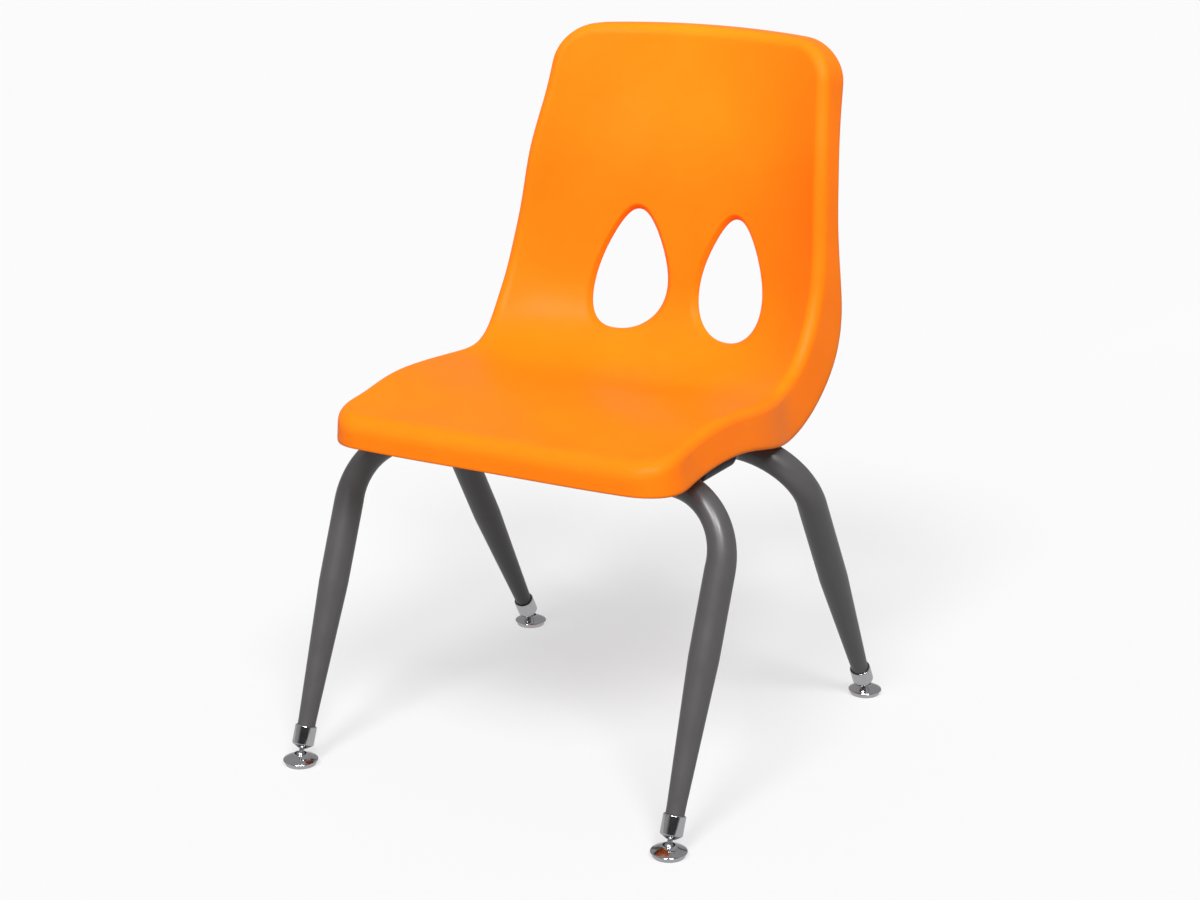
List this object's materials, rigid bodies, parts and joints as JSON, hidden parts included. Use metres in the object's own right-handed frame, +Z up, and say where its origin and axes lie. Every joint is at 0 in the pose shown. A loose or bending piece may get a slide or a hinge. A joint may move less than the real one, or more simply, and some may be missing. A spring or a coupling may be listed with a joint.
{
  "type": "stacking chair",
  "caption": "Stacking chair: one-piece moulded shell with rolled edges and egg-shaped back openings on two bent-tube leg bows with ball-swivel glides.",
  "frame": {"origin": "bottom centre of the whole chair's box, on the floor", "axes": "+Z up; -Y is the front of the chair, +Y its back; +X is the sitter's left"},
  "size_m": [0.488, 0.5299, 0.7511],
  "materials": {
    "shell_polypropylene": "moulded satin orange polypropylene",
    "frame_enamel": "baked charcoal grey enamel, semi-gloss",
    "glide_chrome": "bright nickel-chrome plate on pressed steel",
    "black_nylon": "moulded black nylon",
    "zinc_steel": "zinc-plated steel"
  },
  "bodies": {
    "chair": {"front_left_ball_stud": "zinc_steel", "front_left_bracket": "frame_enamel", "front_left_ferrule": "glide_chrome", "front_left_liner": "black_nylon", "front_leg_bow": "frame_enamel", "front_right_ball_stud": "zinc_steel", "front_right_bracket": "frame_enamel", "front_right_ferrule": "glide_chrome", "front_right_liner": "black_nylon", "left_side_rail": "frame_enamel", "left_stack_bumper": "black_nylon", "rear_left_ball_stud": "zinc_steel", "rear_left_bracket": "frame_enamel", "rear_left_ferrule": "glide_chrome", "rear_left_liner": "black_nylon", "rear_leg_bow": "frame_enamel", "rear_right_ball_stud": "zinc_steel", "rear_right_bracket": "frame_enamel", "rear_right_ferrule": "glide_chrome", "rear_right_liner": "black_nylon", "right_side_rail": "frame_enamel", "right_stack_bumper": "black_nylon", "seat_shell": "shell_polypropylene", "shell_screws": "zinc_steel", "shell_washers": "zinc_steel"},
    "front_left_socket": {"front_left_cushion": "black_nylon"},
    "front_left_retainer": {"front_left_ring": "zinc_steel"},
    "front_left_glide": {"front_left_base": "glide_chrome", "front_left_wear_disc": "glide_chrome"},
    "front_right_socket": {"front_right_cushion": "black_nylon"},
    "front_right_retainer": {"front_right_ring": "zinc_steel"},
    "front_right_glide": {"front_right_base": "glide_chrome", "front_right_wear_disc": "glide_chrome"},
    "rear_left_socket": {"rear_left_cushion": "black_nylon"},
    "rear_left_retainer": {"rear_left_ring": "zinc_steel"},
    "rear_left_glide": {"rear_left_base": "glide_chrome", "rear_left_wear_disc": "glide_chrome"},
    "rear_right_socket": {"rear_right_cushion": "black_nylon"},
    "rear_right_retainer": {"rear_right_ring": "zinc_steel"},
    "rear_right_glide": {"rear_right_base": "glide_chrome", "rear_right_wear_disc": "glide_chrome"}
  },
  "joints": [
    {"name": "front_left_pitch", "type": "hinge", "parent": "chair", "child": "front_left_socket", "pos_m": [0.225, -0.246, 0.0095], "axis": [1, 0, 0], "range_deg": [-8, 8]},
    {"name": "front_left_roll", "type": "hinge", "parent": "front_left_socket", "child": "front_left_retainer", "pos_m": [0.225, -0.246, 0.0095], "axis": [0, 1, 0], "range_deg": [-8, 8]},
    {"name": "front_left_spin", "type": "hinge", "parent": "front_left_retainer", "child": "front_left_glide", "pos_m": [0.225, -0.246, 0.0095], "axis": [0, 0, 1], "continuous": true},
    {"name": "front_right_pitch", "type": "hinge", "parent": "chair", "child": "front_right_socket", "pos_m": [-0.225, -0.246, 0.0095], "axis": [1, 0, 0], "range_deg": [-8, 8]},
    {"name": "front_right_roll", "type": "hinge", "parent": "front_right_socket", "child": "front_right_retainer", "pos_m": [-0.225, -0.246, 0.0095], "axis": [0, 1, 0], "range_deg": [-8, 8]},
    {"name": "front_right_spin", "type": "hinge", "parent": "front_right_retainer", "child": "front_right_glide", "pos_m": [-0.225, -0.246, 0.0095], "axis": [0, 0, 1], "continuous": true},
    {"name": "rear_left_pitch", "type": "hinge", "parent": "chair", "child": "rear_left_socket", "pos_m": [0.225, 0.235, 0.0095], "axis": [1, 0, 0], "range_deg": [-8, 8]},
    {"name": "rear_left_roll", "type": "hinge", "parent": "rear_left_socket", "child": "rear_left_retainer", "pos_m": [0.225, 0.235, 0.0095], "axis": [0, 1, 0], "range_deg": [-8, 8]},
    {"name": "rear_left_spin", "type": "hinge", "parent": "rear_left_retainer", "child": "rear_left_glide", "pos_m": [0.225, 0.235, 0.0095], "axis": [0, 0, 1], "continuous": true},
    {"name": "rear_right_pitch", "type": "hinge", "parent": "chair", "child": "rear_right_socket", "pos_m": [-0.225, 0.235, 0.0095], "axis": [1, 0, 0], "range_deg": [-8, 8]},
    {"name": "rear_right_roll", "type": "hinge", "parent": "rear_right_socket", "child": "rear_right_retainer", "pos_m": [-0.225, 0.235, 0.0095], "axis": [0, 1, 0], "range_deg": [-8, 8]},
    {"name": "rear_right_spin", "type": "hinge", "parent": "rear_right_retainer", "child": "rear_right_glide", "pos_m": [-0.225, 0.235, 0.0095], "axis": [0, 0, 1], "continuous": true}
  ]
}
